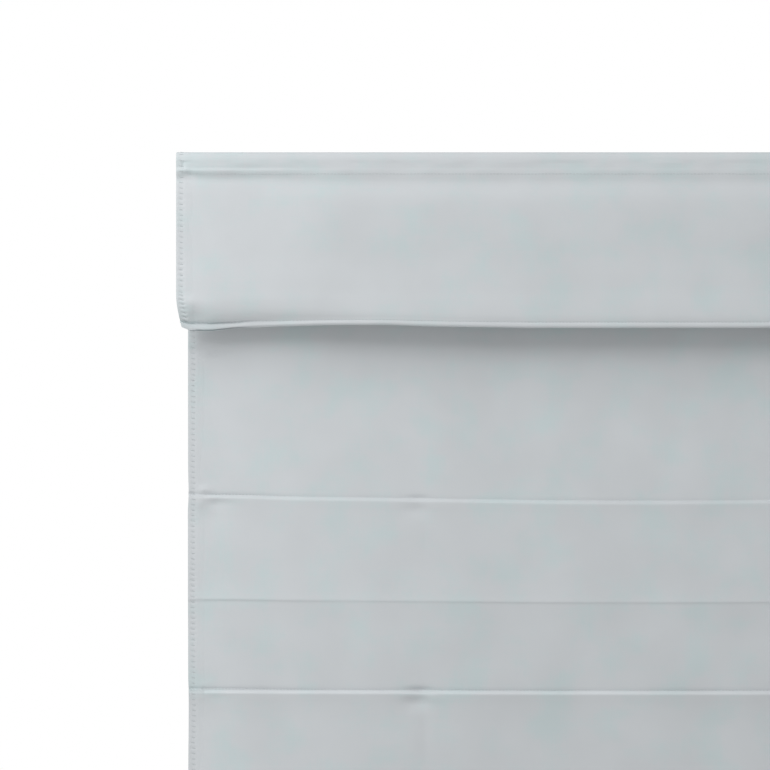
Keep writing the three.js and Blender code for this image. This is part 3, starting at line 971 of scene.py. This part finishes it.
class SHADE_OT_stitches(bpy.types.Operator):
    """Sews the cross stitches of the side hems and the straight rows of every seam"""

    bl_idname = "shade.stitches"
    bl_label = "Stitches"

    def execute(self, context):
        sizes = context.scene.shade_sizes
        shade = Shade(sizes)
        material = material_of(spun_thread, context.scene.shade_colours)
        stitch, radius = sizes.seam_stitch / MM, sizes.thread / MM / 2
        places = side_stitch_places(shade, sizes.hem_stitch / MM)
        for name, side in SIDES:
            for cloth in SIDE_HEMS:
                rings = cross_stitches(shade, cloth, side, places[cloth], radius)
                make_tubes(f"{cloth}_hem_stitches_{name}", rings, material)
        most = math.floor((shade.half - 10) / stitch)
        wide = np.arange(-most, most + 1) * stitch
        narrow = wide[np.abs(wide) < shade.panel_half - 11]
        bottom = shade.drop - BOTTOM_SEAM

        def sewn(point, places, down, seed):
            return seam_stitches(shade, point, places, down, STITCH_SHARE * stitch, radius, SEED + seed)

        def back_point(x, down):
            return shade.panel_point(x, down, "behind")

        lower = shade.valance_length - shade.seam_up(wide)[:, None]
        back = [
            sewn(back_point, narrow, tuck["drop"] - BACK_SEAM_UP, number)
            for number, tuck in enumerate(shade.tucks, 3)
        ]
        back.append(sewn(back_point, narrow, bottom, 20))
        seams = {
            "heading": sewn(shade.valance_point, wide, shade.along_of(HEADING_SEAM), 0),
            "valance_seam": sewn(shade.valance_point, wide, lower, 1),
            "bottom_seam": sewn(shade.panel_point, narrow, bottom, 2),
            "back_seam": np.concatenate(back),
        }
        for name, rings in seams.items():
            make_tubes(f"{name}_stitches", rings, material)
        return {"FINISHED"}


class SHADE_OT_stage(bpy.types.Operator):
    """Sets the floor, the lights and the camera"""

    bl_idname = "shade.stage"
    bl_label = "Stage"

    def execute(self, context):
        scene = context.scene
        bpy.ops.mesh.primitive_plane_add(size=9.0, location=(0, 0, CAD_LOW.z - 0.5))
        floor = context.object
        floor.name = "floor"
        floor.data.materials.append(material_of(rolled_paint, scene.shade_colours))

        view_width = PHOTO_PIXELS * PIXEL
        middle = PHOTO_PIXELS / 2
        x = CAD_LOW.x + (middle - CORNER_PIXEL[0]) * PIXEL
        z = CAD_HIGH.z - (middle - CORNER_PIXEL[1]) * PIXEL
        camera = bpy.data.objects.new("camera", bpy.data.cameras.new("camera"))
        camera.data.sensor_width = SENSOR
        camera.data.lens = SENSOR * CAMERA_DISTANCE / view_width
        camera.location = (x, -VALANCE_DEPTH * MM - CAMERA_DISTANCE, z)
        camera.rotation_euler = (math.pi / 2, 0, 0)
        scene.collection.objects.link(camera)
        scene.camera = camera

        for row in LIGHTS:
            light = bpy.data.objects.new(row["name"], bpy.data.lights.new(row["name"], "AREA"))
            light.data.shape = "RECTANGLE"
            light.data.size, light.data.size_y = row["size"]
            light.data.energy = row["watts"]
            light.visible_camera = False
            light.location = row["place"]
            aim = light.location - type(light.location)(row["aim"])
            light.rotation_euler = aim.to_track_quat("Z", "Y").to_euler()
            scene.collection.objects.link(light)

        world = bpy.data.worlds.new("surround")
        world.use_nodes = True
        scene.world = world
        tree = world.node_tree
        tree.nodes.clear()
        inputs = {0: add(tree, "ShaderNodeLightPath").outputs["Is Camera Ray"]}
        for number, strength in enumerate(SURROUND, 1):
            glow = add(tree, "ShaderNodeBackground", inputs={"Color": (1, 1, 1, 1), "Strength": strength})
            inputs[number] = glow.outputs["Background"]
        mixed = add(tree, "ShaderNodeMixShader", inputs=inputs)
        add(tree, "ShaderNodeOutputWorld", inputs={"Surface": mixed.outputs["Shader"]})
        scene.view_settings.view_transform = "Standard"
        return {"FINISHED"}


class SHADE_PT_maker(bpy.types.Panel):
    """Lists the sizes, the colours and the steps of making the shade"""

    bl_idname = "SHADE_PT_maker"
    bl_label = "Roman shade"
    bl_space_type = "VIEW_3D"
    bl_region_type = "UI"
    bl_category = "Shade"

    def draw(self, context):
        for group in (context.scene.shade_sizes, context.scene.shade_colours):
            box = self.layout.box()
            for name in group.__annotations__:
                box.prop(group, name)
        for operator in OPERATORS:
            self.layout.operator(operator.bl_idname)


OPERATORS = (SHADE_OT_stage, SHADE_OT_panel, SHADE_OT_valance, SHADE_OT_hems, SHADE_OT_stitches)
CLASSES = (ShadeSizes, ShadeColours, *OPERATORS, SHADE_PT_maker)


def register():
    for kind in CLASSES:
        bpy.utils.register_class(kind)
    bpy.types.Scene.shade_sizes = PointerProperty(type=ShadeSizes)
    bpy.types.Scene.shade_colours = PointerProperty(type=ShadeColours)


def unregister():
    del bpy.types.Scene.shade_colours
    del bpy.types.Scene.shade_sizes
    for kind in reversed(CLASSES):
        bpy.utils.unregister_class(kind)


def declare_sheets():
    """Lists, for each cloth, the names of the pieces that are sewn on it."""
    sewn = {
        "panel": ["bottom_seam_stitches", "back_seam_stitches"],
        "valance": ["valance_hem_lower", "heading_stitches", "valance_seam_stitches"],
    }
    for cloth, names in sewn.items():
        names += [f"{cloth}_{kind}_{side}" for kind in ("hem", "hem_stitches") for side, _ in SIDES]


def main():
    register()
    bpy.ops.shade.stage()
    bpy.ops.shade.panel()
    bpy.ops.shade.valance()
    bpy.ops.shade.hems()
    bpy.ops.shade.stitches()
    declare_sheets()


if __name__ == "__main__":
    main()
